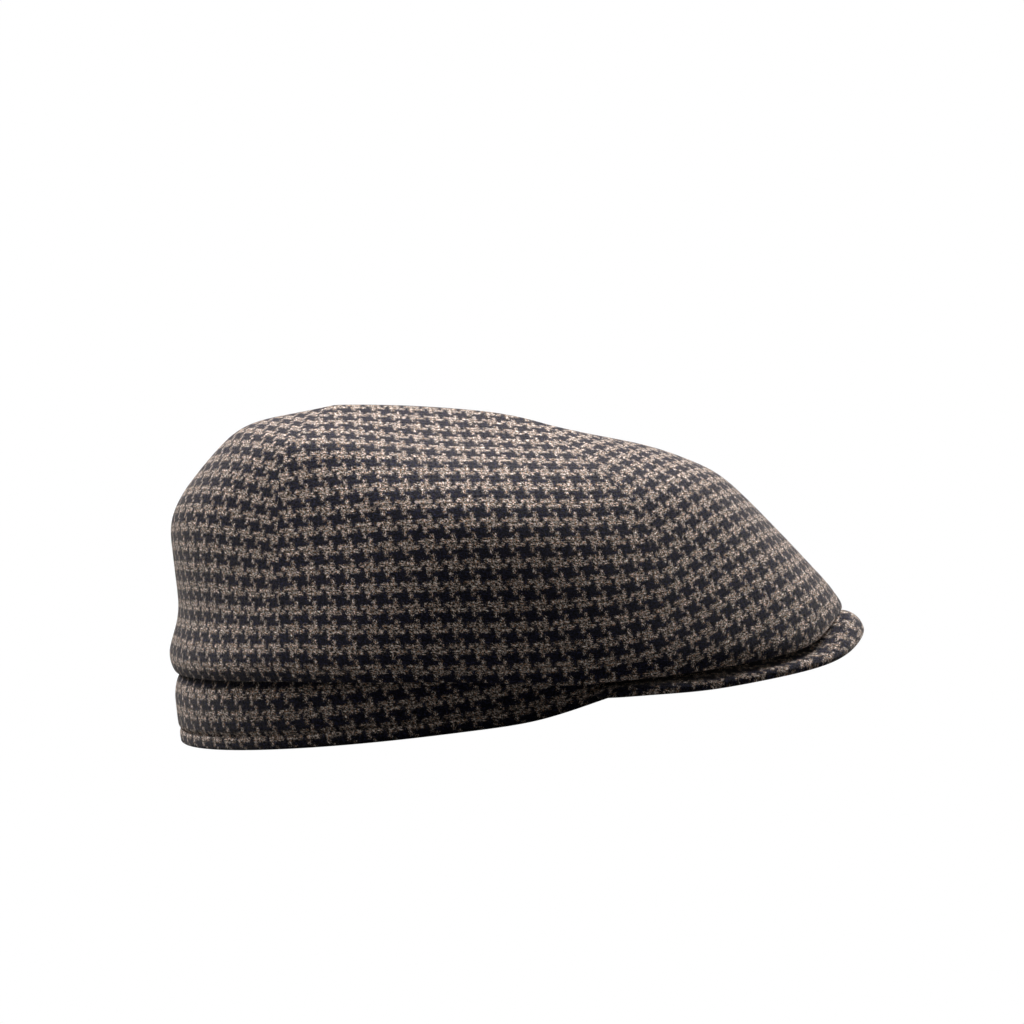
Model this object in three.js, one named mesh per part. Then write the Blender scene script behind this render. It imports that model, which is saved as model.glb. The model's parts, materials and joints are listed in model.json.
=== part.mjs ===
// A wool flat cap: a four-panel crown that blouses over a folded ear-flap band, and a stiff cloth peak.
// Millimetres, +Z up, +X towards the tip of the peak. The origin is the middle of the cap's footprint,
// on the surface that it rests on. All tables give x from the back of the rim, which lies REAR_X behind it.
import * as THREE from "three";

// Sizes that drive the whole cap.
const REAR_X = -137.65; // where the back of the rim lies in the cap's own frame
const CLOTH = 2; // wall of the crown: the tweed and what backs it
const CROWN_FRONT_POWER = 2.2; // above 2, the forehead half of a level is squarer than an ellipse
const SEAM_GAP = 0.3; // free width along every seam
const TIP_PULL = 0.9; // how far the back and front panels' tips stop short of the ridge seam
const BAND_LENGTH = 207.2; // outside of the band, back to front
const BAND_HALF_WIDTH = 88;
const BAND_BACK_X = -1.2;
const BAND_WIDEST_X = 100;
const BAND_FRONT_POWER = 2.5; // above 2, the forehead end is squarer than an ellipse
const BAND_TOP = 31;
const BAND_WALL = 3; // two layers of tweed round an interlining
const BAND_LEAN = 5.3; // how far the top of the cuff turns in under the crown
const BAND_LEAN_START = 0.7; // share of the height where that turn begins
const BAND_LEAN_POWER = 1.5;
const BAND_FRONT_LIFT = 6.5; // the rim rises by this much towards the forehead
const BAND_LIFT_START_X = 132;
const BAND_LIFT_END_X = 190;
const PEAK_THICKNESS = 5;
const PEAK_CORNER_X = 166; // where the peak's two corners meet the band
const PEAK_HALF_WIDTH = 95.5; // of the oval that its edge follows
const PEAK_TIP_X = 276.6;
const PEAK_CORNER_TUCK = 11; // each corner turns in by this much to the band
const PEAK_CORNER_LENGTH = 24;
const PEAK_EDGE_HEIGHT = 5.4; // middle of the edge, over most of each side
const PEAK_TIP_RISE = 6.6; // how much higher the middle of the tip is
const PEAK_TIP_SHARE = 0.23; // how wide that rise is, as a share of the half edge
const PEAK_CORNER_RISE = 3.2;
const PEAK_CORNER_RISE_START = 0.7; // share of the half edge where that rise begins
const PEAK_ROOT_HEIGHT = 23.5; // middle of the edge at the band, in the centre
const PEAK_ROOT_CORNER_HEIGHT = 9;
const PEAK_ROOT_POWER = 1.6; // how fast the root falls away from the centre to the corners
const PEAK_ROOT_CLEAR = 0.88; // from the rim's oval to the middle of the root
const PEAK_CURL_RADIUS = 7.5; // the last of the peak turns down round this, by these angles in radians
const PEAK_CURL_SIDES = 0.3;
const PEAK_CURL_TIP = 1.3;

// Steps of the faceted surfaces.
const LEVEL_STEPS = 2; // rows between two levels of the crown
const REAR_STEPS = 14;
const SIDE_STEPS = 18;
const FRONT_STEPS = 16;
const BAND_STEPS = 60;
const PEAK_STEPS = 32;

// Levels of the crown, from the turned-in lip up to the ridge seam. Each one is a closed egg-shaped line
// round the crown: x and z where it crosses the middle at the back and at the front, x of its widest place,
// its half width, how far its sides stand above the straight line from back to front, how much of the hem's
// wave it has, x where the back and front seams cross it, and by what share it is drawn in at its back and
// front shoulders, half way between its widest place and its ends. It is fuller there where that is below 0.
const LEVEL_COLUMNS = [
  "backX", "backZ", "frontX", "frontZ", "widestX", "halfWidth",
  "hump", "wave", "backSeamX", "frontSeamX", "backTaper", "frontTaper",
];
const LEVEL_ROWS = [
  [2.5, 29.3, 262.5, 22.9, 100, 89, 0, 1, 43, 196, 0, 0], // lip, turned in under the hem
  [-0.1, 28.8, 268.6, 21.5, 100, 91.5, 0, 1, 41.3, 199, 0, 0], // hem
  [-1.7, 35.5, 268.4, 23.6, 100, 92.4, 0, 0.88, 42, 198.9, 0, 0],
  [0.9, 43.2, 266.5, 27.5, 102, 91.6, 0, 0.62, 43, 198.7, 0, 0.02],
  [4.7, 54.9, 263.2, 33.1, 106, 89.2, 0, 0.32, 44.2, 198, 0.02, 0.05],
  [4.7, 71.1, 258.3, 39.8, 112, 86, 0, 0.12, 46, 198, 0.06, 0.08],
  [4.8, 85.3, 252.5, 47.8, 117, 82, 0.5, 0, 47.5, 196.3, 0.1, 0.11],
  [9.8, 96.9, 243.8, 59.4, 120, 77, 1, 0, 48.7, 194, 0.12, 0.12],
  [17.8, 106, 235.1, 70.6, 120, 69.5, 1.6, 0, 50.3, 190.4, 0.1, 0.1],
  [26.9, 114.6, 226.3, 80.4, 120, 57.5, 1.8, 0, 53, 183.5, 0.02, 0.06], // shoulder
  [35.9, 121.4, 215.1, 87.6, 120, 44.5, 1.4, 0, 57.3, 175, -0.12, 0.03],
  [46.3, 124.7, 199.9, 95.1, 120, 31, 0.8, 0, 63.8, 167, -0.22, 0.02],
  [62.6, 126.1, 180.5, 101.4, 125, 17, 2.1, 0, 71, 162, -0.25, 0],
  [76.8, 127.5, 161.2, 108.8, 132, 0, 3.3, 0, 76.8, 161.2, 0, 0], // ridge seam
];
const LIP_LEVEL = 0;
const HEM_LEVEL = 1;
const RIDGE_LEVEL = LEVEL_ROWS.length - 1;

// The hem's wave: how far it dips below the straight line from back to front, by the share of that length.
const WAVE_COLUMNS = ["share", "dip"];
const WAVE_ROWS = [
  [0, 0],
  [0.13, 0],
  [0.31, 2.6],
  [0.45, 6],
  [0.6, 11.4],
  [0.76, 11.9],
  [0.9, 10.8],
  [0.95, 9.4],
  [0.978, 4.2],
  [0.992, 0.4],
  [1, 0],
];

// The cuff's section: how far each corner lies outside the rim's oval, and its share of the height.
const CUFF_COLUMNS = ["outward", "height"];
const CUFF_ROWS = [
  [-0.5, 0],
  [0, 0.03],
  [0.3, 0.3],
  [0.2, 0.6],
  [0, 0.78],
  [0, 0.92],
  [-0.7, 1],
  [-BAND_WALL + 0.4, 1],
  [-BAND_WALL, 0.92],
  [-BAND_WALL, 0.6],
  [-BAND_WALL, 0.03],
  [-BAND_WALL + 0.5, 0],
];

const TWEED = { color: 0x6b6058, roughness: 0.95, metalness: 0 };
const TWEED_CUFF = { color: 0x57504b, roughness: 0.95, metalness: 0 };
const TWEED_PEAK = { color: 0x74685f, roughness: 0.95, metalness: 0 };

function table(columns, rows) {
  return Object.fromEntries(columns.map((name, k) => [name, rows.map((row) => row[k])]));
}

const LEVELS = table(LEVEL_COLUMNS, LEVEL_ROWS);
const WAVE = table(WAVE_COLUMNS, WAVE_ROWS);
const CUFF = table(CUFF_COLUMNS, CUFF_ROWS);

function smoothStep(from, to, x) {
  const t = THREE.MathUtils.clamp((x - from) / (to - from), 0, 1);
  return t * t * (3 - 2 * t);
}

// A smooth curve through the values that never swings past them: its slope is zero at each turning point.
function curveThrough(positions, values) {
  const last = positions.length - 1;
  const rise = (k) => (values[k + 1] - values[k]) / (positions[k + 1] - positions[k]);
  const slopes = values.map((_, k) => {
    if (k === 0) return rise(0);
    if (k === last) return rise(last - 1);
    const before = rise(k - 1);
    const after = rise(k);
    return before * after <= 0 ? 0 : (2 * before * after) / (before + after);
  });
  return (x) => {
    let k = 0;
    while (k < last - 1 && x > positions[k + 1]) k += 1;
    const width = positions[k + 1] - positions[k];
    const t = (x - positions[k]) / width;
    const t2 = t * t;
    const t3 = t2 * t;
    return (
      (2 * t3 - 3 * t2 + 1) * values[k] +
      (t3 - 2 * t2 + t) * width * slopes[k] +
      (3 * t2 - 2 * t3) * values[k + 1] +
      (t3 - t2) * width * slopes[k + 1]
    );
  };
}

const levelNumbers = LEVEL_ROWS.map((_, k) => k);
const levelCurve = Object.fromEntries(
  LEVEL_COLUMNS.map((name) => [name, curveThrough(levelNumbers, LEVELS[name])]),
);
const waveDip = curveThrough(WAVE.share, WAVE.dip);

// A level's half that a place belongs to: its length from the widest place, how square it is, its taper.
function levelHalf(level, isBack) {
  const at = (name) => levelCurve[name](level);
  if (isBack) return { reach: at("widestX") - at("backX"), power: 1, taper: at("backTaper") };
  return { reach: at("frontX") - at("widestX"), power: 2 / CROWN_FRONT_POWER, taper: at("frontTaper") };
}

// A point of the crown's outer face: level from the lip to the ridge, angle from the back by the -Y side.
function crownPoint(level, angle) {
  const at = (name) => levelCurve[name](level);
  const { reach, power, taper } = levelHalf(level, Math.cos(angle) > 0);
  const bend = (value) => Math.sign(value) * Math.abs(value) ** power;
  const x = at("widestX") - reach * bend(Math.cos(angle));
  const drawnIn = 1 - taper * Math.sin(2 * angle) ** 2;
  const y = -at("halfWidth") * bend(Math.sin(angle)) * drawnIn;
  const share = (x - at("backX")) / (at("frontX") - at("backX"));
  const straight = at("backZ") + share * (at("frontZ") - at("backZ"));
  const dip = at("wave") * waveDip(THREE.MathUtils.clamp(share, 0, 1));
  return new THREE.Vector3(x, y, straight + at("hump") * Math.sin(angle) ** 2 - dip);
}

// The angle where a seam crosses a level.
function seamAngle(level, seamX) {
  const ahead = levelCurve.widestX(level) - seamX;
  const { reach, power } = levelHalf(level, ahead > 0);
  const share = Math.min(Math.abs(ahead) / reach, 1) ** (1 / power);
  return Math.acos(Math.sign(ahead) * share);
}

// Which way the crown's outer face looks at a point, from the slopes of the surface beside it.
function crownNormal(level, angle) {
  const step = 0.02;
  const here = Math.min(level, RIDGE_LEVEL - 2 * step);
  const up = crownPoint(here + step, angle).sub(crownPoint(Math.max(here - step, 0), angle));
  const round = crownPoint(here, angle + step).sub(crownPoint(here, angle - step));
  return round.cross(up).normalize();
}

// Moves the edge points of a grid inwards, along the surface and square to the edge, by half a seam's gap.
function drawBackEdge(edge, inside) {
  const moved = edge.map((point, k) => {
    const along = edge[Math.min(k + 1, edge.length - 1)].clone().sub(edge[Math.max(k - 1, 0)]);
    const inward = inside[k].clone().sub(point);
    if (along.lengthSq() > 0) inward.addScaledVector(along, -inward.dot(along) / along.lengthSq());
    return point.clone().addScaledVector(inward.normalize(), SEAM_GAP / 2);
  });
  moved.forEach((point, k) => edge[k].copy(point));
}

// One panel of the crown as a grid of outer points and a grid of inner points, one wall apart.
function panelGrids(startAngle, endAngle, steps, meetsRidge) {
  const outer = [];
  const inner = [];
  const levels = [LIP_LEVEL];
  for (let k = 0; k <= (RIDGE_LEVEL - HEM_LEVEL) * LEVEL_STEPS; k += 1) {
    levels.push(HEM_LEVEL + k / LEVEL_STEPS);
  }
  levels.forEach((level, row) => {
    const start = startAngle(level);
    const end = endAngle(level);
    const angles = Array.from({ length: steps + 1 }, (_, k) => start + ((end - start) * k) / steps);
    outer.push(angles.map((angle) => crownPoint(level, angle)));
    inner.push(
      angles.map((angle, k) => {
        const normal = crownNormal(level, angle);
        if (level === RIDGE_LEVEL) normal.setY(0).normalize();
        return outer[row][k].clone().addScaledVector(normal, -CLOTH);
      }),
    );
    // The turn of the hem is square inside, so that the lip keeps the full wall.
    if (level <= HEM_LEVEL) {
      inner[row].forEach((point, k) => {
        const outward = crownNormal(HEM_LEVEL + 1, angles[k]).setZ(0).normalize();
        const inset = level === HEM_LEVEL ? CLOTH : 0;
        point.copy(outer[row][k]).addScaledVector(outward, -inset);
        point.z += CLOTH;
      });
    }
  });
  [outer, inner].forEach((grid) => {
    const column = (k) => grid.map((row) => row[k]);
    drawBackEdge(column(0), column(1));
    drawBackEdge(column(steps), column(steps - 1));
    const top = grid.length - 1;
    if (meetsRidge) drawBackEdge(grid[top], grid[top - 1]);
  });
  return { outer, inner };
}

// The tip of the back or front panel is one point, held clear of the ridge seam.
function closeTip(grids, pull) {
  [grids.outer, grids.inner].forEach((grid) => {
    const top = grid[grid.length - 1];
    const tip = top[Math.floor(top.length / 2)].clone();
    tip.y = 0;
    tip.x += pull;
    top.forEach((point) => point.copy(tip));
  });
  return grids;
}

// Triangles between two rows of points, leaving out those that have no width.
const FIRST_DIAGONAL = [[0, 1, 2], [0, 2, 3]];
const OTHER_DIAGONAL = [[0, 1, 3], [1, 2, 3]];

function addStrip(corners, lower, upper, diagonal = FIRST_DIAGONAL) {
  for (let k = 0; k + 1 < lower.length; k += 1) {
    const quad = [lower[k], lower[k + 1], upper[k + 1], upper[k]];
    diagonal.forEach((pick) => {
      const [a, b, c] = pick.map((n) => quad[n]);
      const thin = Math.min(a.distanceTo(b), b.distanceTo(c), c.distanceTo(a)) < 1e-6;
      if (!thin) corners.push(a, b, c);
    });
  }
}

function geometryOf(corners) {
  return new THREE.BufferGeometry().setFromPoints(corners);
}

// A closed wall from an outer and an inner grid of the same size.
function wallGeometry({ outer, inner }) {
  const corners = [];
  const top = outer.length - 1;
  const end = outer[0].length - 1;
  for (let row = 0; row < top; row += 1) {
    addStrip(corners, outer[row], outer[row + 1]);
    addStrip(corners, inner[row + 1], inner[row]);
  }
  addStrip(corners, inner[0], outer[0]);
  addStrip(corners, outer[top], inner[top]);
  const column = (grid, k) => grid.map((row) => row[k]);
  addStrip(corners, column(outer, 0), column(inner, 0));
  // Both walls of a seam are cut along the same diagonals, so that they stay parallel where the seam turns.
  addStrip(corners, column(inner, end), column(outer, end), OTHER_DIAGONAL);
  return geometryOf(corners);
}

const FULL_TURN = 2 * Math.PI;
const rightBackSeam = (level) => seamAngle(level, levelCurve.backSeamX(level));
const rightFrontSeam = (level) => seamAngle(level, levelCurve.frontSeamX(level));
const leftBackSeam = (level) => FULL_TURN - rightBackSeam(level);
const leftFrontSeam = (level) => FULL_TURN - rightFrontSeam(level);

function backPanel() {
  const grids = panelGrids((level) => -rightBackSeam(level), rightBackSeam, REAR_STEPS, false);
  return wallGeometry(closeTip(grids, -TIP_PULL));
}

function frontPanel() {
  return wallGeometry(closeTip(panelGrids(rightFrontSeam, leftFrontSeam, FRONT_STEPS, false), TIP_PULL));
}

function sidePanel(startSeam, endSeam) {
  return wallGeometry(panelGrids(startSeam, endSeam, SIDE_STEPS, true));
}

// The rim's oval, by the angle from the back: its point and the way out from it.
function rimOval(angle) {
  const along = Math.cos(angle);
  const across = Math.sin(angle);
  const power = along > 0 ? 1 : 2 / BAND_FRONT_POWER;
  const reach = along > 0 ? BAND_WIDEST_X - BAND_BACK_X : BAND_BACK_X + BAND_LENGTH - BAND_WIDEST_X;
  const bend = (value) => Math.sign(value) * Math.abs(value) ** power;
  return new THREE.Vector3(BAND_WIDEST_X - reach * bend(along), -BAND_HALF_WIDTH * bend(across), 0);
}

function rimOutward(angle) {
  const step = 0.01;
  const tangent = rimOval(angle + step).sub(rimOval(angle - step));
  return new THREE.Vector3(tangent.y, -tangent.x, 0).normalize();
}

// The cuff: one closed section carried round the rim.
function band() {
  const sections = Array.from({ length: BAND_STEPS + 1 }, (_, k) => {
    const angle = (FULL_TURN * (k % BAND_STEPS)) / BAND_STEPS;
    const foot = rimOval(angle);
    const outward = rimOutward(angle);
    const bottom = BAND_FRONT_LIFT * smoothStep(BAND_LIFT_START_X, BAND_LIFT_END_X, foot.x);
    const lean = BAND_LEAN * (1 - smoothStep(BAND_LIFT_START_X, PEAK_CORNER_X, foot.x));
    const section = CUFF.outward.map((offset, n) => {
      const share = CUFF.height[n];
      const turn = Math.max(0, (share - BAND_LEAN_START) / (1 - BAND_LEAN_START)) ** BAND_LEAN_POWER;
      const point = foot.clone().addScaledVector(outward, offset - lean * turn);
      return point.setZ(bottom + share * (BAND_TOP - bottom));
    });
    return [...section, section[0]];
  });
  const corners = [];
  for (let k = 0; k < BAND_STEPS; k += 1) addStrip(corners, sections[k + 1], sections[k]);
  return geometryOf(corners);
}

// Rows of the peak: shares of its straight part, shares of the curl after it, and of the round of the edge.
const PEAK_DEPTHS = [0, 0.25, 0.5, 0.75, 1];
const PEAK_CURL_SHARES = [0.25, 0.5, 0.75, 1];
const PEAK_ROUND = [0.25, 0.5, 0.75];

// Middle line of the peak from the band to its edge, at a place from -1 to 1 along the edge: for each of its
// points, the point itself, the way onwards and the way up from it.
function peakLine(side) {
  const edgeReach = PEAK_TIP_X - PEAK_THICKNESS / 2 - BAND_WIDEST_X;
  const cornerAngle = Math.acos((PEAK_CORNER_X - BAND_WIDEST_X) / edgeReach);
  const edgeAngle = side * cornerAngle;
  const edge = new THREE.Vector3(
    BAND_WIDEST_X + edgeReach * Math.cos(edgeAngle),
    PEAK_HALF_WIDTH * Math.sin(edgeAngle),
    0,
  );
  const tuck = 1 - smoothStep(PEAK_CORNER_X, PEAK_CORNER_X + PEAK_CORNER_LENGTH, edge.x);
  edge.y -= Math.sign(side) * PEAK_CORNER_TUCK * tuck;
  const bandReach = BAND_BACK_X + BAND_LENGTH - BAND_WIDEST_X;
  const cornerShare = ((PEAK_CORNER_X - BAND_WIDEST_X) / bandReach) ** (BAND_FRONT_POWER / 2);
  const rootAngle = Math.PI + side * Math.acos(cornerShare);
  const root = rimOval(rootAngle).addScaledVector(rimOutward(rootAngle), PEAK_ROOT_CLEAR);
  const tip = Math.exp(-((side / PEAK_TIP_SHARE) ** 2));
  const cornerRise = PEAK_CORNER_RISE * smoothStep(PEAK_CORNER_RISE_START, 1, Math.abs(side));
  const edgeHeight = PEAK_EDGE_HEIGHT + PEAK_TIP_RISE * tip + cornerRise;
  const arch = Math.cos((side * Math.PI) / 2) ** PEAK_ROOT_POWER;
  const rootHeight = PEAK_ROOT_CORNER_HEIGHT + (PEAK_ROOT_HEIGHT - PEAK_ROOT_CORNER_HEIGHT) * arch;
  const outward = edge.clone().sub(root);
  const reach = outward.length();
  outward.normalize();
  // A place on the line: how far out from the root it is, its height, and how far it slopes down there.
  const place = (out, height, slope) => ({
    point: root.clone().addScaledVector(outward, out).setZ(height),
    onward: outward.clone().multiplyScalar(Math.cos(slope)).setZ(-Math.sin(slope)),
    up: outward.clone().multiplyScalar(Math.sin(slope)).setZ(Math.cos(slope)),
  });
  const radius = Math.min(PEAK_CURL_RADIUS, reach / 2);
  const straightSlope = Math.atan2(rootHeight - edgeHeight, reach);
  const endSlope = straightSlope + PEAK_CURL_SIDES + (PEAK_CURL_TIP - PEAK_CURL_SIDES) * tip;
  const centreOut = reach - radius * Math.sin(endSlope);
  const centreHeight = edgeHeight - radius * Math.cos(endSlope);
  const rootFall = rootHeight - centreHeight;
  const tangentTurn = Math.asin(radius / Math.hypot(centreOut, rootFall));
  const startSlope = Math.atan2(rootFall, centreOut) - tangentTurn;
  const onCurl = (slope) => {
    const out = centreOut + radius * Math.sin(slope);
    return place(out, centreHeight + radius * Math.cos(slope), slope);
  };
  const curlStart = onCurl(startSlope);
  const startOut = centreOut + radius * Math.sin(startSlope);
  const startHeight = curlStart.point.z;
  // The root is cut upright, beside the cuff.
  return [
    ...PEAK_DEPTHS.map((share) =>
      place(startOut * share, rootHeight + (startHeight - rootHeight) * share, share > 0 ? startSlope : 0),
    ),
    ...PEAK_CURL_SHARES.map((share) => onCurl(startSlope + (endSlope - startSlope) * share)),
  ];
}

// The peak: a stiffened crescent with a rounded edge, one section for each place along it.
function peak() {
  const half = PEAK_THICKNESS / 2;
  const sections = Array.from({ length: PEAK_STEPS + 1 }, (_, k) => {
    const line = peakLine(-1 + (2 * k) / PEAK_STEPS);
    const lift = ({ point, onward, up }, angle) => {
      const raised = point.clone().addScaledVector(up, half * Math.cos(angle));
      return raised.addScaledVector(onward, half * Math.sin(angle));
    };
    const top = line.map((place) => lift(place, 0));
    const round = PEAK_ROUND.map((share) => lift(line[line.length - 1], share * Math.PI));
    const under = line.map((place) => lift(place, Math.PI)).reverse();
    return [...top, ...round, ...under];
  });
  const corners = [];
  const last = sections[0].length - 1;
  for (let k = 0; k < PEAK_STEPS; k += 1) {
    addStrip(corners, sections[k], sections[k + 1]);
    addStrip(corners, [sections[k][last], sections[k][0]], [sections[k + 1][last], sections[k + 1][0]]);
  }
  // The two corners are closed flat: quads between top and underside, and a fan at the rounded edge.
  [sections[0], sections[PEAK_STEPS]].forEach((section, n) => {
    const count = (section.length - PEAK_ROUND.length) / 2;
    const top = section.slice(0, count);
    const round = section.slice(count, count + PEAK_ROUND.length);
    const under = section.slice(count + PEAK_ROUND.length).reverse();
    const rim = [top[count - 1], ...round, under[count - 1]];
    if (n === 0) addStrip(corners, under, top);
    else addStrip(corners, top, under);
    for (let k = 1; k + 1 < rim.length; k += 1) {
      const fan = [rim[0], rim[k], rim[k + 1]];
      corners.push(...(n === 0 ? fan.reverse() : fan));
    }
  });
  return geometryOf(corners);
}

function meshOf(name, geometry, finish) {
  const mesh = new THREE.Mesh(geometry, new THREE.MeshStandardMaterial(finish));
  mesh.name = name;
  return mesh;
}

const group = new THREE.Group();
group.add(
  meshOf("back_panel", backPanel(), TWEED),
  meshOf("side_panel_right", sidePanel(rightBackSeam, rightFrontSeam), TWEED),
  meshOf("side_panel_left", sidePanel(leftFrontSeam, leftBackSeam), TWEED),
  meshOf("front_panel", frontPanel(), TWEED),
  meshOf("band", band(), TWEED_CUFF),
  meshOf("peak", peak(), TWEED_PEAK),
);
group.position.x = REAR_X;

export default group;
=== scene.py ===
"""A flat cap in wool houndstooth tweed: a panelled crown, a folded cuff band and a stiffened peak.

The crown has a side piece at each side, and its back and front are each two halves seamed along the middle.

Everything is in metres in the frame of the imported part: +X to the peak, +Z up, the cuff's foot on the floor.
"""

import json
from math import atan2, cos, hypot, pi, radians, sin

import bpy
from mathutils import Matrix, Vector

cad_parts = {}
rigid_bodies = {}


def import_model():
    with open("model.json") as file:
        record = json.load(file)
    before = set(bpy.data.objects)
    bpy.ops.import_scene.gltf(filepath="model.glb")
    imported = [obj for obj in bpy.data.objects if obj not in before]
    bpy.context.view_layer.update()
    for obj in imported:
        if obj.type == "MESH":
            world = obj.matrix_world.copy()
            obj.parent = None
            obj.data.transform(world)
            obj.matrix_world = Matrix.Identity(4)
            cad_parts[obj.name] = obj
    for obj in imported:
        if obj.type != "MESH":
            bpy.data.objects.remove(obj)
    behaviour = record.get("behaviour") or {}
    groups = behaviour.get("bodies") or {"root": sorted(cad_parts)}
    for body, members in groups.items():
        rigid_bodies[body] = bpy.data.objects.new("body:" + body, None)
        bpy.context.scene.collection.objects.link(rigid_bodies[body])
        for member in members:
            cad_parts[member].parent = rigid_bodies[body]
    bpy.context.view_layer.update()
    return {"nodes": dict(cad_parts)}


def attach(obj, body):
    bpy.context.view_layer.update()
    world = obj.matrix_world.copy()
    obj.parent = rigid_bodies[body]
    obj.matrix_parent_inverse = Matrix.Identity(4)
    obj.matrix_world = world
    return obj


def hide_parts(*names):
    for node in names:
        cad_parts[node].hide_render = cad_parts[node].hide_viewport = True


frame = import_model()
MM = 0.001

# ---------------------------------------------------------------- sizes, in millimetres on the cap

YARN = 8.5 / 4  # one thick yarn of the tweed: the check repeats after two light and two dark ones
SEAM_ROLL = 0.8  # how far the cloth rolls over at a crown seam
CUFF_HEIGHT = 31
CUFF_WALL = 3
CUFF_ROLL = 1.1
CUFF_MIDDLE_X = -35
CUFF_STEPS = 40  # places round the cuff where its foot is measured
HEM_STITCH = 5.0  # the cuff's line of stitches above its foot
STITCH_GROOVE = 0.6  # half the width of the groove that the stitches draw in
STITCH_DEPTH = 1.6
HEAD_MIDDLE_X = -38
VISOR_SAG = 0.8  # how far the peak's top is pressed down at its two sides, under the crown
VISOR_FLAT_HALF = 36  # the peak's middle, out to this far each way, isn't pressed
VISOR_ROLL = 0.8
VISOR_REACH = 174  # of the oval that the peak's edge follows, from the middle of the head to its tip
VISOR_HALF_WIDTH = 95.5
MERGE_CAD = 0.02  # corners of the CAD mesh closer than this are one
MERGE_ROLL = 0.15  # and so are corners left this close by a rolled edge
FLOOR_DROP = 0.2  # keeps the floor's face from lying in the cuff's foot
WALL_TURN = radians(42)  # faces that turn less than this from their neighbour lie on the same side of a wall

# ---------------------------------------------------------------- editing helpers


def select_only(piece):
    bpy.ops.object.select_all(action="DESELECT")
    piece.select_set(True)
    bpy.context.view_layer.objects.active = piece


def edit(piece, kind="FACE"):
    select_only(piece)
    bpy.ops.object.mode_set(mode="EDIT")
    bpy.ops.mesh.select_mode(type=kind)
    bpy.ops.mesh.select_all(action="DESELECT")


def done():
    bpy.ops.object.mode_set(mode="OBJECT")


def deselect_all(piece, kind="FACE"):
    """Leaves nothing selected inside the piece, so that code can select by place."""
    edit(piece, kind)
    done()


def round_off(piece):
    """Smooths the finished shape, as soft cloth is."""
    select_only(piece)
    modifier = piece.modifiers.new("Rounding", "SUBSURF")
    modifier.levels = 2
    modifier.render_levels = 2
    bpy.ops.object.modifier_apply(modifier=modifier.name)
    bpy.ops.object.shade_smooth()


def cloth_from(node, name):
    """A merged copy of a CAD node's mesh, back in quads: the start of the piece that replaces it."""
    piece = bpy.data.objects.new(name, frame["nodes"][node].data.copy())
    bpy.context.scene.collection.objects.link(piece)
    piece.data.materials.clear()
    edit(piece)
    bpy.ops.mesh.select_all(action="SELECT")
    bpy.ops.mesh.remove_doubles(threshold=MERGE_CAD * MM)
    bpy.ops.mesh.tris_convert_to_quads(face_threshold=radians(60), shape_threshold=radians(70))
    bpy.ops.mesh.select_all(action="DESELECT")
    done()
    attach(piece, "root")
    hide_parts(node)
    return piece


def flat_size(points):
    """Area of a flat outline."""
    total = 0.0
    for here, there in zip(points, points[1:] + points[:1]):
        total += here.x * there.y - there.x * here.y
    return abs(total) / 2


def cloth_place(piece, place):
    """Where the face nearest to a place lies on the flat cloth."""
    face = min(piece.data.polygons, key=lambda face: (face.center - place).length)
    layer = piece.data.uv_layers.active.data
    total = Vector((0, 0))
    for loop in face.loop_indices:
        total += layer[loop].uv
    return total / face.loop_total


def lay_grain(piece, start, end):
    """Gives the flat cloth its real size in metres, its rows from start to end and zero half way between."""
    origin = (cloth_place(piece, start) + cloth_place(piece, end)) / 2
    row = cloth_place(piece, end) - cloth_place(piece, start)
    layer = piece.data.uv_layers.active.data
    flat_area = 0.0
    real_area = 0.0
    for face in piece.data.polygons:
        flat_area += flat_size([layer[loop].uv for loop in face.loop_indices])
        real_area += face.area
    scale = (real_area / flat_area) ** 0.5
    turn = Matrix.Rotation(-atan2(row.y, row.x), 2)
    for item in layer:
        item.uv = turn @ ((item.uv - origin) * scale)


def ease(piece, along=1.0, across=1.0, lean=0.0, fan=0.0, turn=0.0, bow=0.0, crowd=0.0, side=1):
    """Steams the flat cloth into shape. At u along the rows and v across them, in metres from the middle: the
    cloth is drawn up along and across, columns lean and fan out, and rows turn, bow and crowd as v grows."""
    for item in piece.data.uv_layers.active.data:
        u, v = item.uv.x * side, item.uv.y
        column = along * u + lean * v + fan * u * v
        row = across * v + turn * u + bow * u * u + crowd * v * v
        item.uv = Vector((column * side, row))


# ---------------------------------------------------------------- crown

CROWN_HEART = Vector((-0.002, 0, 0.06))
SEAM_GAP = 0.3  # free width along every seam
SEAM_PRESS = 0.3  # how far the cut wall on each side is pressed across the seam
HEM_TOP = 32
TIP_HEIGHT = 95  # the tips of the back and front panels lie above this
CREST_HEIGHT = 110  # above this the crown is so flat that an upright face is a seam wall
TIP_REACH = 0.9  # how far those tips are drawn out to the ridge seam
TIP_DEPTH = 0.7  # how much of a tip is moved by all of that reach
TIP_FADE = 10  # and how far from there the pull fades out


def outwardness(face):
    """1 for a face that looks straight out of the crown, about 0 for the wall of a seam."""
    return (face.center - CROWN_HEART).normalized().dot(face.normal)


def keep_half(piece, side):
    """Cuts a panel along the middle of the cap, where its halves are seamed, and keeps one of them."""
    edit(piece)
    bpy.ops.mesh.select_all(action="SELECT")
    bpy.ops.mesh.bisect(
        plane_co=(0, side * SEAM_GAP / 2 * MM, 0),
        plane_no=(0, side, 0),
        clear_inner=True,
        use_fill=True,
        threshold=0.01 * MM,
    )
    bpy.ops.mesh.select_all(action="DESELECT")
    done()


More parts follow.
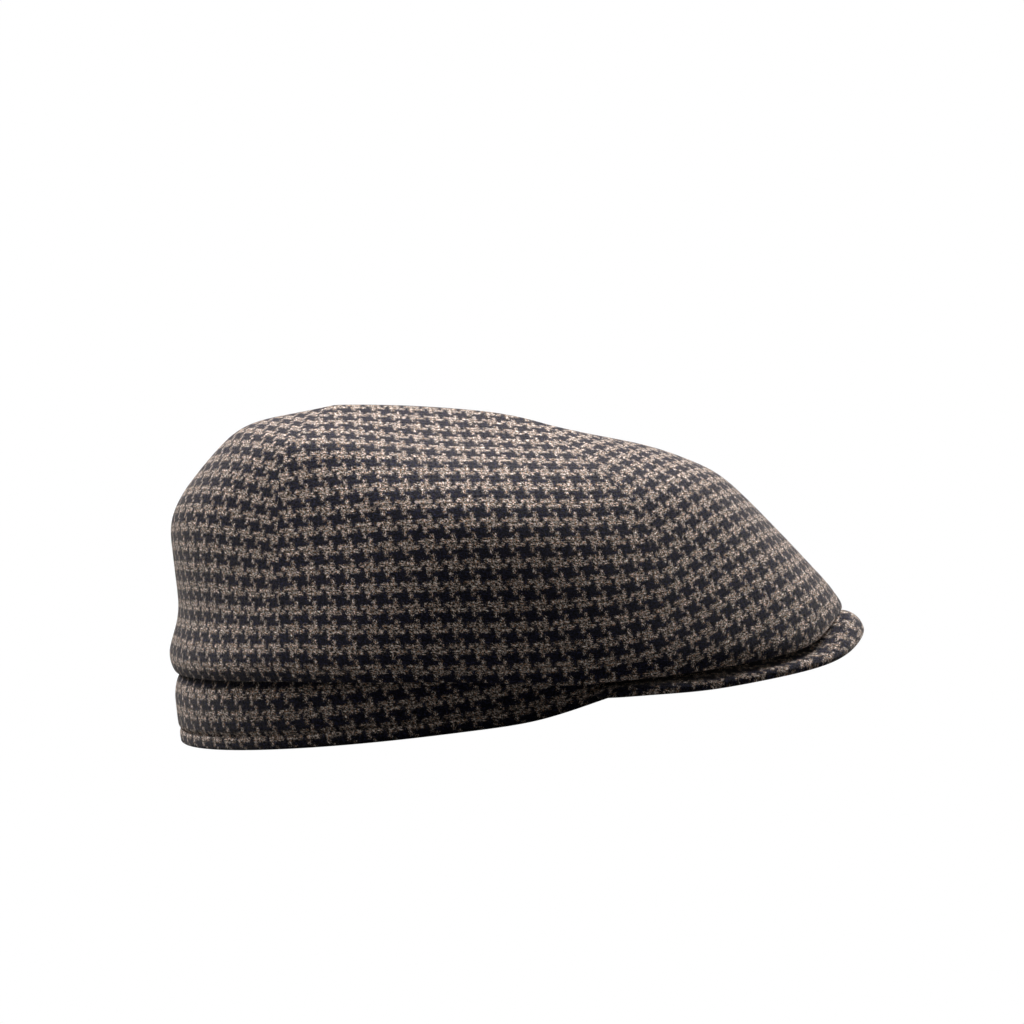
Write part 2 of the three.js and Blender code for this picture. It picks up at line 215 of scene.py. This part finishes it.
def close_seams(panel, tip_reach):
    """Presses a panel's cut walls against its neighbours', and draws its tip out to the ridge seam."""
    for face in panel.data.polygons:
        hem = face.center.z < HEM_TOP * MM and face.normal.z < -0.4
        upright = face.center.z > CREST_HEIGHT * MM and abs(face.normal.z) < 0.4
        face.select = (abs(outwardness(face)) < 0.6 or upright) and not hem
    bpy.ops.object.mode_set(mode="EDIT")
    bpy.ops.transform.shrink_fatten(value=SEAM_PRESS * MM)
    done()
    if tip_reach:
        deselect_all(panel, "VERT")
        side = 1 if tip_reach > 0 else -1
        tip = max(side * corner.co.x for corner in panel.data.vertices)
        for corner in panel.data.vertices:
            at_tip = side * corner.co.x > tip - TIP_DEPTH * MM
            corner.select = at_tip and corner.co.z > TIP_HEIGHT * MM
        bpy.ops.object.mode_set(mode="EDIT")
        bpy.ops.transform.translate(
            value=(tip_reach * MM, 0, 0),
            use_proportional_edit=True,
            use_proportional_connected=True,
            proportional_edit_falloff="LINEAR",
            proportional_size=TIP_FADE * MM,
        )
        done()
    deselect_all(panel)


def crown_panel(node, name, row, easing, half=0, tip_reach=0):
    """A panel cut from flat cloth, whose rows run along the line between the two places of row."""
    panel = cloth_from(node, name)
    if half:
        keep_half(panel, half)
    close_seams(panel, tip_reach)
    outer_faces = [face for face in panel.data.polygons if outwardness(face) > 0.8]
    seed = max(outer_faces, key=lambda face: face.area)
    seed.select = True
    panel.data.polygons.active = seed.index
    bpy.ops.object.mode_set(mode="EDIT")
    bpy.ops.mesh.faces_select_linked_flat(sharpness=WALL_TURN)
    bpy.ops.mesh.select_more()
    bpy.ops.mesh.region_to_loop()
    bpy.ops.mesh.mark_seam()
    bpy.ops.mesh.select_mode(type="FACE")
    bpy.ops.mesh.select_all(action="SELECT")
    bpy.ops.uv.unwrap(method="MINIMUM_STRETCH", margin=0.01)
    bpy.ops.mesh.select_all(action="DESELECT")
    bpy.ops.mesh.select_mode(type="EDGE")
    bpy.ops.mesh.edges_select_sharp(sharpness=WALL_TURN)
    bpy.ops.mesh.bevel(offset=SEAM_ROLL * MM, segments=2, affect="EDGES", clamp_overlap=True)
    done()
    lay_grain(panel, Vector(row[0]) * MM, Vector(row[1]) * MM)
    ease(panel, **easing)
    round_off(panel)
    return panel


# ---------------------------------------------------------------- cuff band and peak


def round_edges(piece, width, steps):
    """Rolls the piece's sharp edges over, as folded cloth does."""
    edit(piece, "EDGE")
    bpy.ops.mesh.edges_select_sharp(sharpness=WALL_TURN)
    bpy.ops.mesh.bevel(offset=width * MM, segments=steps, affect="EDGES", clamp_overlap=True)
    bpy.ops.mesh.select_all(action="SELECT")
    bpy.ops.mesh.remove_doubles(threshold=MERGE_ROLL * MM)
    done()


def wind_cloth(piece, start):
    """Lays one straight strip of cloth round the cuff and under its foot, its rows level with the foot."""
    corners = [corner.co for corner in piece.data.vertices]
    middle_x = (min(corner.x for corner in corners) + max(corner.x for corner in corners)) / 2
    half_length = max(corner.x for corner in corners) - middle_x
    half_width = max(corner.y for corner in corners)
    step_angle = 2 * pi / CUFF_STEPS

    def turn(place):
        return atan2(place.y / half_width, (place.x - middle_x) / half_length)

    def between(values, angle):
        share = (angle + pi) / step_angle
        low = min(int(share), CUFF_STEPS - 1)
        after = values[(low + 1) % len(values)]
        return values[low] + (share - low) * (after - values[low])

    # The foot's height at each step round the cuff. A step without a corner takes the one before it.
    foot = [CUFF_HEIGHT * MM] * CUFF_STEPS
    for corner in corners:
        step = round((turn(corner) + pi) / step_angle) % CUFF_STEPS
        foot[step] = min(foot[step], corner.z)
    for step in range(CUFF_STEPS):
        if foot[step] > 0.5 * CUFF_HEIGHT * MM:
            foot[step] = foot[step - 1]

    # The length of cloth from the back to each step.
    lengths = [0.0]
    for step in range(CUFF_STEPS):
        angle = (step + 0.5) * step_angle - pi
        stretch = hypot(half_length * sin(angle), half_width * cos(angle))
        lengths.append(lengths[-1] + stretch * step_angle)
    start_length = between(lengths, turn(start))

    layer = piece.data.uv_layers.new(name="UVMap")
    for face in piece.data.polygons:
        for loop in face.loop_indices:
            corner = piece.data.vertices[piece.data.loops[loop].vertex_index]
            angle = turn(corner.co)
            if abs(angle) > 0.9 * pi:
                angle = abs(angle) if face.center.y > 0 else -abs(angle)
            outward = Vector((corner.co.x - middle_x, corner.co.y, 0)).normalized()
            under = CUFF_WALL * MM * (1 - corner.normal.dot(outward)) / 2
            height = corner.co.z - between(foot, angle) - under
            layer.data[loop].uv = (between(lengths, angle) - start_length, height - start.z)


def cuff_band():
    """The folded band, with the groove that a line of stitches draws in above its foot."""
    cuff = cloth_from("band", "cuff")
    round_edges(cuff, CUFF_ROLL, 3)
    deselect_all(cuff)
    for face in cuff.data.polygons:
        around = Vector((face.center.x - CUFF_MIDDLE_X * MM, face.center.y, 0)).normalized()
        face.select = face.normal.dot(around) > 0.93
    bpy.ops.object.mode_set(mode="EDIT")
    bpy.ops.mesh.inset(thickness=HEM_STITCH * MM, use_even_offset=True)
    bpy.ops.mesh.region_to_loop()
    done()
    for edge in cuff.data.edges:
        if edge.select and cuff.data.vertices[edge.vertices[0]].co.z > 0.5 * CUFF_HEIGHT * MM:
            edge.select = False
    bpy.ops.object.mode_set(mode="EDIT")
    bpy.ops.mesh.bevel(offset=STITCH_GROOVE * MM, segments=2, affect="EDGES")
    bpy.ops.mesh.select_mode(type="VERT")
    bpy.ops.mesh.select_less()
    bpy.ops.transform.shrink_fatten(value=-STITCH_DEPTH * MM)
    done()
    wind_cloth(cuff, Vector((0, -88, 15)) * MM)
    round_off(cuff)
    return cuff


def drape_cloth(piece):
    """Lays one flat cloth over the peak and down over its edge, square to the oval that the edge follows."""
    layer = piece.data.uv_layers.new(name="UVMap")
    for loop in piece.data.loops:
        place = piece.data.vertices[loop.vertex_index].co
        along = (place.x - HEAD_MIDDLE_X * MM) / VISOR_REACH**2
        outward = Vector((along, place.y / VISOR_HALF_WIDTH**2)).normalized()
        layer.data[loop.index].uv = place.xy - outward * place.z


def visor_peak():
    """The stiff peak, pressed down at its two sides where it runs under the crown."""
    visor = cloth_from("peak", "visor")
    for face in visor.data.polygons:
        face.select = face.normal.z > 0.6 and abs(face.center.y) > VISOR_FLAT_HALF * MM
    bpy.ops.object.mode_set(mode="EDIT")
    bpy.ops.transform.translate(
        value=(0, 0, -VISOR_SAG * MM),
        use_proportional_edit=True,
        use_proportional_connected=True,
        proportional_size=4 * MM,
    )
    done()
    round_edges(visor, VISOR_ROLL, 2)
    drape_cloth(visor)
    round_off(visor)
    return visor


# ---------------------------------------------------------------- material helpers


def linear(hex_colour):
    """An sRGB hex colour as linear red, green and blue, and full alpha."""
    parts = [int(hex_colour[k : k + 2], 16) / 255 for k in (1, 3, 5)]
    return [p / 12.92 if p <= 0.04045 else ((p + 0.055) / 1.055) ** 2.4 for p in parts] + [1.0]


def add_node(tree, kind, settings=None, links=None):
    """A node with its settings, and its inputs set to values or linked to another node's output."""
    made = tree.nodes.new(kind)
    for name, value in (settings or {}).items():
        setattr(made, name, value)
    for key, value in (links or {}).items():
        if isinstance(value, bpy.types.Node):
            value = value.outputs[0]
        if isinstance(value, bpy.types.NodeSocket):
            tree.links.new(value, made.inputs[key])
        else:
            made.inputs[key].default_value = value
    return made


def new_material(name):
    material = bpy.data.materials.new(name)
    material.use_nodes = True
    material.node_tree.nodes.clear()
    return material, material.node_tree


def houndstooth_tweed():
    """Plain-woven wool tweed of thick yarns, two light and two dark each way: a small toothed check, with
    painted shade in the gaps between yarns.
    """
    material, tree = new_material("houndstooth_wool_tweed")
    # The cloth's own place, counted in yarns: x along a row crosses the warp, y crosses the weft.
    cloth = add_node(tree, "ShaderNodeUVMap", {"uv_map": "UVMap"})
    yarns = add_node(
        tree,
        "ShaderNodeVectorMath",
        {"operation": "MULTIPLY_ADD"},
        {0: cloth, 1: (1 / (YARN * MM), 1 / (YARN * MM), 0), 2: (400, 400, 0)},
    )
    # Handwork in the cloth: whole yarns sway, and their edges are ragged with fibre.
    slow = add_node(tree, "ShaderNodeTexNoise", {}, {"Vector": yarns, "Scale": 0.11, "Detail": 1.0})
    fast = add_node(
        tree, "ShaderNodeTexNoise", {}, {"Vector": yarns, "Scale": 3.8, "Detail": 3.0, "Roughness": 0.8}
    )
    swayed = add_node(
        tree,
        "ShaderNodeVectorMath",
        {"operation": "MULTIPLY_ADD"},
        {0: slow.outputs["Color"], 1: (0.9, 0.9, 0), 2: yarns},
    )
    frayed = add_node(
        tree,
        "ShaderNodeVectorMath",
        {"operation": "MULTIPLY_ADD"},
        {0: fast.outputs["Color"], 1: (2.4, 2.0, 0), 2: swayed},
    )
    # Which of the two yarns lies on top: each rises and dips once in two crossings and is round across.
    place = add_node(tree, "ShaderNodeSeparateXYZ", {}, {0: frayed})
    crossing = add_node(tree, "ShaderNodeCombineXYZ", {}, {0: place.outputs[1], 1: place.outputs[0]})
    own = add_node(tree, "ShaderNodeVectorMath", {"operation": "FLOOR"}, {0: frayed})
    within = add_node(tree, "ShaderNodeVectorMath", {"operation": "FRACTION"}, {0: frayed})
    along = add_node(tree, "ShaderNodeVectorMath", {"operation": "SUBTRACT"}, {0: crossing, 1: own})
    phase = add_node(
        tree,
        "ShaderNodeVectorMath",
        {"operation": "MULTIPLY_ADD"},
        {0: along, 1: (pi, pi, 0), 2: (-1.5 * pi, -0.5 * pi, 0)},
    )
    rise = add_node(tree, "ShaderNodeVectorMath", {"operation": "COSINE"}, {0: phase})
    aside = add_node(
        tree,
        "ShaderNodeVectorMath",
        {"operation": "MULTIPLY_ADD"},
        {0: within, 1: (2, 2, 0), 2: (-1, -1, 0)},
    )
    square = add_node(tree, "ShaderNodeVectorMath", {"operation": "MULTIPLY"}, {0: aside, 1: aside})
    # Two light yarns, then two dark ones, both ways.
    turn = add_node(
        tree, "ShaderNodeVectorMath", {"operation": "WRAP"}, {0: own, 1: (4, 4, 4), 2: (0, 0, 0)}
    )
    half = add_node(tree, "ShaderNodeVectorMath", {"operation": "SCALE"}, {0: turn, "Scale": 0.5})
    dark = add_node(tree, "ShaderNodeVectorMath", {"operation": "FLOOR"}, {0: half})
    is_dark = add_node(tree, "ShaderNodeSeparateXYZ", {}, {0: dark})
    # The weft is beaten up closer than the warp is set, so it covers more. Dark yarns are a little fuller.
    covering = add_node(
        tree,
        "ShaderNodeVectorMath",
        {"operation": "MULTIPLY_ADD"},
        {0: dark, 1: (0.15, 0.15, 0), 2: rise},
    )
    covering = add_node(tree, "ShaderNodeVectorMath", {"operation": "ADD"}, {0: covering, 1: (0, 0.28, 0)})
    heights = add_node(
        tree,
        "ShaderNodeVectorMath",
        {"operation": "MULTIPLY_ADD"},
        {0: square, 1: (-2.0, -1.6, 0), 2: covering},
    )
    each = add_node(tree, "ShaderNodeSeparateXYZ", {}, {0: heights})
    lead = add_node(
        tree,
        "ShaderNodeMath",
        {"operation": "SUBTRACT"},
        {0: each.outputs[0], 1: each.outputs[1]},
    )
    # Stray fibres of one yarn lie over the other.
    strays = add_node(
        tree, "ShaderNodeTexNoise", {}, {"Vector": yarns, "Scale": 4.5, "Detail": 1.0, "Roughness": 0.7}
    )
    tangle = add_node(tree, "ShaderNodeMapRange", {}, {0: strays, 1: 0.3, 2: 0.7, 3: -1.3, 4: 1.3})
    tangled = add_node(tree, "ShaderNodeMath", {"operation": "ADD"}, {0: lead, 1: tangle})
    warp_on_top = add_node(
        tree,
        "ShaderNodeMath",
        {"operation": "MULTIPLY_ADD", "use_clamp": True},
        {0: tangled, 1: 1.0, 2: 0.5},
    )
    top = add_node(
        tree, "ShaderNodeMath", {"operation": "MAXIMUM"}, {0: each.outputs[0], 1: each.outputs[1]}
    )
    # Each yarn is spun from differently dyed wool: tan and off-white in the light ones, black and slate blue
    # in the dark ones.
    blend = add_node(
        tree, "ShaderNodeTexNoise", {}, {"Vector": yarns, "Scale": 2.6, "Detail": 2.0, "Roughness": 0.7}
    )
    dye = add_node(tree, "ShaderNodeMapRange", {}, {0: blend, 1: 0.4, 2: 0.62, 3: 0.0, 4: 1.0})
    light_wool = add_node(
        tree,
        "ShaderNodeMix",
        {"data_type": "RGBA"},
        {0: dye, 6: linear("#8B6A50"), 7: linear("#D2CAC4")},
    )
    dark_wool = add_node(
        tree,
        "ShaderNodeMix",
        {"data_type": "RGBA"},
        {0: dye, 6: linear("#151019"), 7: linear("#282B40")},
    )
    darkness = add_node(
        tree, "ShaderNodeMix", {}, {0: warp_on_top, 2: is_dark.outputs[1], 3: is_dark.outputs[0]}
    )
    yarn_colour = add_node(
        tree,
        "ShaderNodeMix",
        {"data_type": "RGBA"},
        {0: darkness, 6: light_wool.outputs[2], 7: dark_wool.outputs[2]},
    )
    # Fibres lie along their yarn with a little twist. Real ones are too fine to show, so each streak stands
    # for a whole lock of them.
    streaks = []
    for turned, size in ((0.3, (0.24, 0.5, 1)), (-0.2, (0.8, 0.24, 1))):
        laid = add_node(
            tree,
            "ShaderNodeMapping",
            {"vector_type": "TEXTURE"},
            {"Vector": yarns, "Rotation": (0, 0, turned), "Scale": size},
        )
        streaks.append(
            add_node(
                tree,
                "ShaderNodeTexNoise",
                {},
                {"Vector": laid, "Scale": 1.0, "Detail": 2.0, "Roughness": 0.6},
            )
        )
    fibre = add_node(tree, "ShaderNodeMix", {}, {0: warp_on_top, 2: streaks[1], 3: streaks[0]})
    shade = add_node(tree, "ShaderNodeMapRange", {}, {0: fibre, 1: 0.42, 2: 0.6, 3: 0.0, 4: 2.4})
    # Painted shade: the colour is darkened, down to 0.15, where the yarns dip into the gaps between them,
    # where shadow falls.
    painted_gap_shade = add_node(
        tree,
        "ShaderNodeMapRange",
        {"interpolation_type": "SMOOTHSTEP"},
        {0: top, 1: -0.9, 2: 0.6, 3: 0.15, 4: 1.0},
    )
    # The fibre tone times that painted gap shade scales the yarn colour.
    light = add_node(tree, "ShaderNodeMath", {"operation": "MULTIPLY"}, {0: shade, 1: painted_gap_shade})
    colour = add_node(
        tree, "ShaderNodeVectorMath", {"operation": "SCALE"}, {0: yarn_colour.outputs[2], "Scale": light}
    )
    relief = add_node(
        tree, "ShaderNodeMath", {"operation": "MULTIPLY_ADD"}, {0: fibre, 1: 1.4, 2: top}
    )
    bump = add_node(
        tree, "ShaderNodeBump", {}, {"Strength": 1.0, "Distance": 0.07 * MM, "Height": relief}
    )
    shader = add_node(
        tree,
        "ShaderNodeBsdfPrincipled",
        {},
        {
            "Base Color": colour,
            "Roughness": 0.95,
            "Specular IOR Level": 0.15,
            "Sheen Weight": 0.4,
            "Sheen Roughness": 0.35,
            "Sheen Tint": linear("#E8DED4"),
            "Normal": bump,
        },
    )
    add_node(tree, "ShaderNodeOutputMaterial", {}, {0: shader})
    return material


# ---------------------------------------------------------------- camera, light and floor


def camera():
    """A long lens, nearly level with the cap, square to its side and rolled a little."""
    elevation, roll = radians(6.25), radians(6.95)
    target = Vector((4.15, 0, 75.9)) * MM
    distance, view_width, sensor = 15.0, 0.4104, 36.0
    back = Vector((0, -cos(elevation), sin(elevation)))
    up = Vector((0, sin(elevation), cos(elevation)))
    right = cos(roll) * Vector((1, 0, 0)) - sin(roll) * up
    image_up = sin(roll) * Vector((1, 0, 0)) + cos(roll) * up
    data = bpy.data.cameras.new("camera")
    data.sensor_width = sensor
    data.lens = sensor * distance / view_width
    data.clip_end = 100.0
    made = bpy.data.objects.new("camera", data)
    bpy.context.scene.collection.objects.link(made)
    axes = Matrix((right, image_up, back)).transposed().to_4x4()
    made.matrix_world = Matrix.Translation(target + back * distance) @ axes
    bpy.context.scene.camera = made


def softbox(name, towards, strength, width):
    """A broad soft light that shines along a direction, as wide as an angle in degrees."""
    data = bpy.data.lights.new(name, "SUN")
    data.energy = strength
    data.angle = radians(width)
    made = bpy.data.objects.new(name, data)
    made.rotation_euler = Vector(towards).to_track_quat("-Z", "Y").to_euler()
    bpy.context.scene.collection.objects.link(made)


def studio():
    """Soft lights high behind the cap, one at its rear, weak fill, and a pale floor."""
    softbox("peak_side_softbox", (-0.455, -0.455, -0.766), 4.7, 24)
    softbox("rear_side_softbox", (0.455, -0.455, -0.766), 1.8, 24)
    softbox("overhead_softbox", (0.242, -0.242, -0.94), 1.2, 20)
    softbox("rear_softbox", (0.643, 0, -0.766), 0.9, 40)
    world = bpy.data.worlds.new("studio")
    world.use_nodes = True
    world.node_tree.nodes["Background"].inputs[0].default_value = (1, 1, 1, 1)
    world.node_tree.nodes["Background"].inputs[1].default_value = 0.06
    bpy.context.scene.world = world
    bpy.ops.object.select_all(action="DESELECT")
    bpy.ops.mesh.primitive_plane_add(size=60, location=(0, 0, -FLOOR_DROP * MM))
    floor = bpy.context.active_object
    floor.name = "floor"
    material, tree = new_material("matt_white_paint")
    seen = add_node(tree, "ShaderNodeEmission", {}, {0: (1, 1, 1, 1), 1: 1.0})
    bounced = add_node(tree, "ShaderNodeBsdfDiffuse", {}, {0: (0.1, 0.1, 0.1, 1)})
    ray = add_node(tree, "ShaderNodeLightPath")
    both = add_node(tree, "ShaderNodeMixShader", {}, {0: ray.outputs["Is Camera Ray"], 1: bounced, 2: seen})
    add_node(tree, "ShaderNodeOutputMaterial", {}, {0: both})
    floor.data.materials.append(material)
    bpy.context.scene.view_settings.view_transform = "Standard"


# ---------------------------------------------------------------- the cap

# How each crown piece's cloth is eased, and two places on its right half that lie on one row of the weave.
BACK_EASE = {"along": 1.15, "across": 1.1, "lean": 0.076, "fan": 1.08, "turn": -0.027, "bow": 0.43}
SIDE_EASE = {"across": 1.016, "lean": -0.086, "fan": 0.66, "turn": 0.134, "bow": -1.28, "crowd": -0.56}
FRONT_EASE = {"along": 1.09, "across": 1.12, "lean": -0.226, "fan": -0.81, "turn": -0.15}
BACK_ROW = ((-135, -30, 60), (-120, -50, 60))
SIDE_ROW = ((-60, -98, 45), (20, -98, 45))
FRONT_ROW = ((100, -40, 60), (115, -15, 60))


def on_side(row, half):
    """The row's two places as they are at the right, where half is -1, or mirrored to the left."""
    return row if half < 0 else [(x, -y, z) for x, y, z in reversed(row)]


def crown_pieces(half, hand):
    """The back, side and front pieces of one side of the crown."""

    def cut(node, name, row, easing, kept_half=0, tip_reach=0):
        eased = {**easing, "side": -half}
        return crown_panel(node, f"crown_{name}_{hand}", on_side(row, half), eased, kept_half, tip_reach)

    return [
        cut("back_panel", "back", BACK_ROW, BACK_EASE, half, TIP_REACH),
        cut(f"side_panel_{hand}", "side", SIDE_ROW, SIDE_EASE),
        cut("front_panel", "front", FRONT_ROW, FRONT_EASE, half, -TIP_REACH),
    ]


camera()
studio()
tweed = houndstooth_tweed()

for panel in crown_pieces(-1, "right") + crown_pieces(1, "left"):
    panel.data.materials.append(tweed)

cuff = cuff_band()
cuff.data.materials.append(tweed)
visor = visor_peak()
visor.data.materials.append(tweed)
